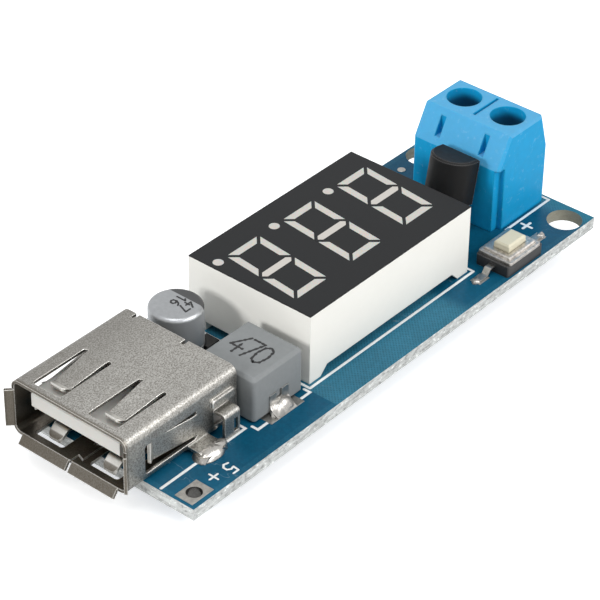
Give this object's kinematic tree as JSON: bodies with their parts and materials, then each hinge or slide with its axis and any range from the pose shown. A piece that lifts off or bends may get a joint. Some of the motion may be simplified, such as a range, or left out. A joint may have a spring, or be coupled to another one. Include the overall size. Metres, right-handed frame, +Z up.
{
  "type": "usb step-down converter",
  "caption": "Step-down converter board: screw terminal input, USB type A socket output, numeric voltage display, push button, coil, capacitor and regulator.",
  "frame": {"origin": "under the middle of the part's bounding box, at the tips of the leads", "axes": "+X from the USB socket to the screw terminal, +Z up from the component side"},
  "size_m": [0.0594, 0.0208, 0.013],
  "materials": {
    "blue_board": "satin blue mask over glass fibre",
    "tinned_copper": "tinned",
    "solder": "dull bright solder",
    "nickel_steel": "satin nickel plate",
    "white_plastic": "satin",
    "gold_contact": "thin gold plate",
    "can_aluminium": "satin",
    "black_plastic": "satin",
    "grey_moulding": "matt",
    "display_white": "satin, dark printed face",
    "segment_resin": "frosted resin",
    "green_board": "satin",
    "lamp_chip": "bare chip",
    "blue_plastic": "moulded",
    "cream_plastic": "moulded",
    "ceramic_tan": "fired ceramic",
    "ceramic_black": "glazed",
    "zinc_steel": "zinc plated"
  },
  "bodies": {
    "board": {"circuit_board": "blue_board", "tinned_pads": "tinned_copper", "solder_joints": "solder", "usb_shell": "nickel_steel", "usb_insulator": "white_plastic", "usb_contacts": "gold_contact", "capacitor_can": "can_aluminium", "capacitor_base": "black_plastic", "capacitor_leads": "tinned_copper", "inductor_body": "grey_moulding", "inductor_terminals": "tinned_copper", "display_case": "display_white", "display_segments": "segment_resin", "display_carrier": "green_board", "display_chips": "lamp_chip", "display_pins": "tinned_copper", "terminal_housing": "blue_plastic", "terminal_bars": "tinned_copper", "switch_base": "black_plastic", "switch_cover": "nickel_steel", "switch_contacts": "tinned_copper", "switch_dome": "nickel_steel", "regulator_body": "black_plastic", "regulator_leads": "tinned_copper", "converter_chip": "black_plastic", "converter_chip_leads": "tinned_copper", "driver_chip": "black_plastic", "driver_chip_leads": "tinned_copper", "diode_body": "black_plastic", "diode_leads": "tinned_copper", "chip_capacitors": "ceramic_tan", "chip_capacitor_ends": "tinned_copper", "chip_resistors": "ceramic_black", "chip_resistor_ends": "tinned_copper"},
    "screw_1": {"clamp_screw_1": "zinc_steel"},
    "cage_1": {"clamp_cage_1": "zinc_steel"},
    "screw_2": {"clamp_screw_2": "zinc_steel"},
    "cage_2": {"clamp_cage_2": "zinc_steel"},
    "button": {"switch_button": "cream_plastic"}
  },
  "joints": [
    {"name": "screw_turn_1", "type": "hinge", "parent": "board", "child": "screw_1", "pos_m": [0.02568, -0.00249, 0.0103], "axis": [0, 0, 1], "range_deg": [-45, 1305]},
    {"name": "cage_lift_1", "type": "slide", "parent": "board", "child": "cage_1", "axis": [0, 0, 1], "range_m": [0, 0.00175]},
    {"name": "screw_turn_2", "type": "hinge", "parent": "board", "child": "screw_2", "pos_m": [0.02568, 0.00259, 0.0103], "axis": [0, 0, 1], "range_deg": [-45, 1305]},
    {"name": "cage_lift_2", "type": "slide", "parent": "board", "child": "cage_2", "axis": [0, 0, 1], "range_m": [0, 0.00175]},
    {"name": "button_press", "type": "slide", "parent": "board", "child": "button", "axis": [0, 0, -1], "range_m": [0, 0.00025], "stiffness_N_per_m": 1000, "springref_m": -0.0002, "deforming": ["switch_dome"]}
  ],
  "couplings": [
    {"joint": "screw_turn_1", "follows": "cage_lift_1", "rad_per_m": 12566},
    {"joint": "screw_turn_2", "follows": "cage_lift_2", "rad_per_m": 12566}
  ]
}
